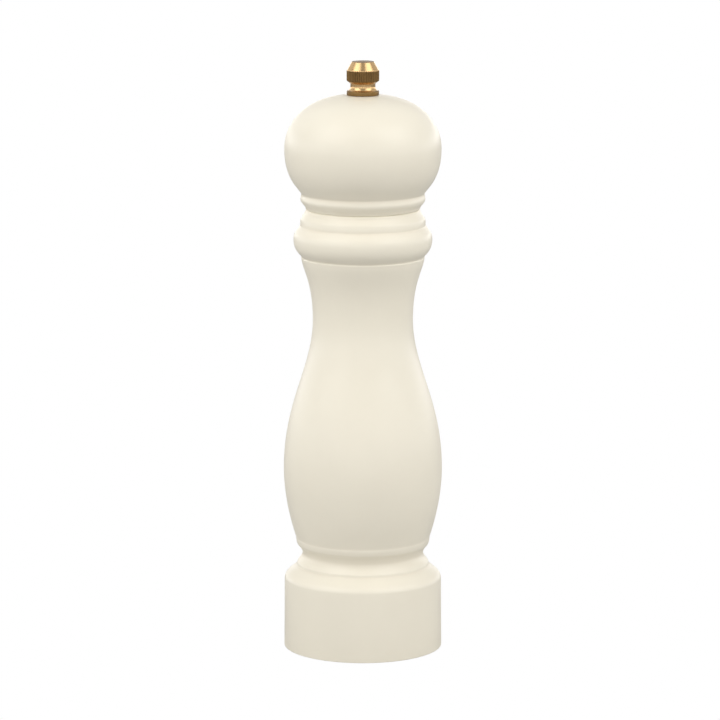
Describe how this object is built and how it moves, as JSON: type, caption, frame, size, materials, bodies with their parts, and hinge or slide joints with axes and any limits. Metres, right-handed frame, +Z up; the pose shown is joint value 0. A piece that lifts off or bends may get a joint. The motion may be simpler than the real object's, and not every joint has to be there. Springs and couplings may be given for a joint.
{
  "type": "pepper mill",
  "caption": "Turned wooden pepper mill with a round head, ringed neck, bellied body and straight foot, a cone burr in the base and a brass knob that sets the grind.",
  "frame": {"origin": "centre of the foot, on the table", "axes": "+Z up along the turning axis, towards the knob; +X along the bridge and the retaining bar"},
  "size_m": [0.059, 0.059, 0.22],
  "materials": {
    "lacquer": "silk-matt cream lacquer on turned beech",
    "brass": "turned and polished, with turning marks",
    "shaft_steel": "drawn bar, lightly brushed",
    "stamped_steel": "stamped sheet, zinc plated",
    "burr_steel": "case-hardened, dark satin",
    "screw_steel": "bright zinc plated",
    "spring_steel": "drawn spring wire"
  },
  "bodies": {
    "body": {"body": "lacquer", "ring_burr": "burr_steel", "bridge": "stamped_steel", "bridge_rivets": "screw_steel", "base_ring": "stamped_steel", "base_ring_screws": "screw_steel", "retaining_bar": "stamped_steel", "retaining_bar_screws": "screw_steel"},
    "thrust": {"thrust_washer": "stamped_steel", "burr_spring": "spring_steel"},
    "spindle": {"drive_shaft": "shaft_steel", "male_burr": "burr_steel", "spring_cup": "stamped_steel", "burr_washer": "stamped_steel", "shaft_clip": "spring_steel"},
    "head": {"head": "lacquer", "drive_plate": "stamped_steel", "drive_plate_screws": "screw_steel"},
    "washer": {"knob_washer": "brass"},
    "knob": {"adjusting_knob": "brass"}
  },
  "joints": [
    {"name": "grind_turn", "type": "hinge", "parent": "body", "child": "thrust", "pos_m": [0, 0, 0.0216], "axis": [0, 0, 1], "continuous": true},
    {"name": "grind_set", "type": "slide", "parent": "thrust", "child": "spindle", "axis": [0, 0, 1], "range_m": [-0.001, 0.0006], "deforming": ["burr_spring"]},
    {"name": "head_lift", "type": "slide", "parent": "thrust", "child": "head", "axis": [0, 0, 1], "range_m": [0, 0.075]},
    {"name": "knob_off", "type": "slide", "parent": "head", "child": "washer", "axis": [0, 0, 1], "range_m": [0, 0.025]},
    {"name": "knob_turn", "type": "hinge", "parent": "washer", "child": "knob", "pos_m": [0, 0, 0.2093], "axis": [0, 0, 1], "range_deg": [-270.1, 450.1]}
  ],
  "couplings": [
    {"joint": "knob_turn", "follows": "grind_set", "rad_per_m": -7854}
  ]
}
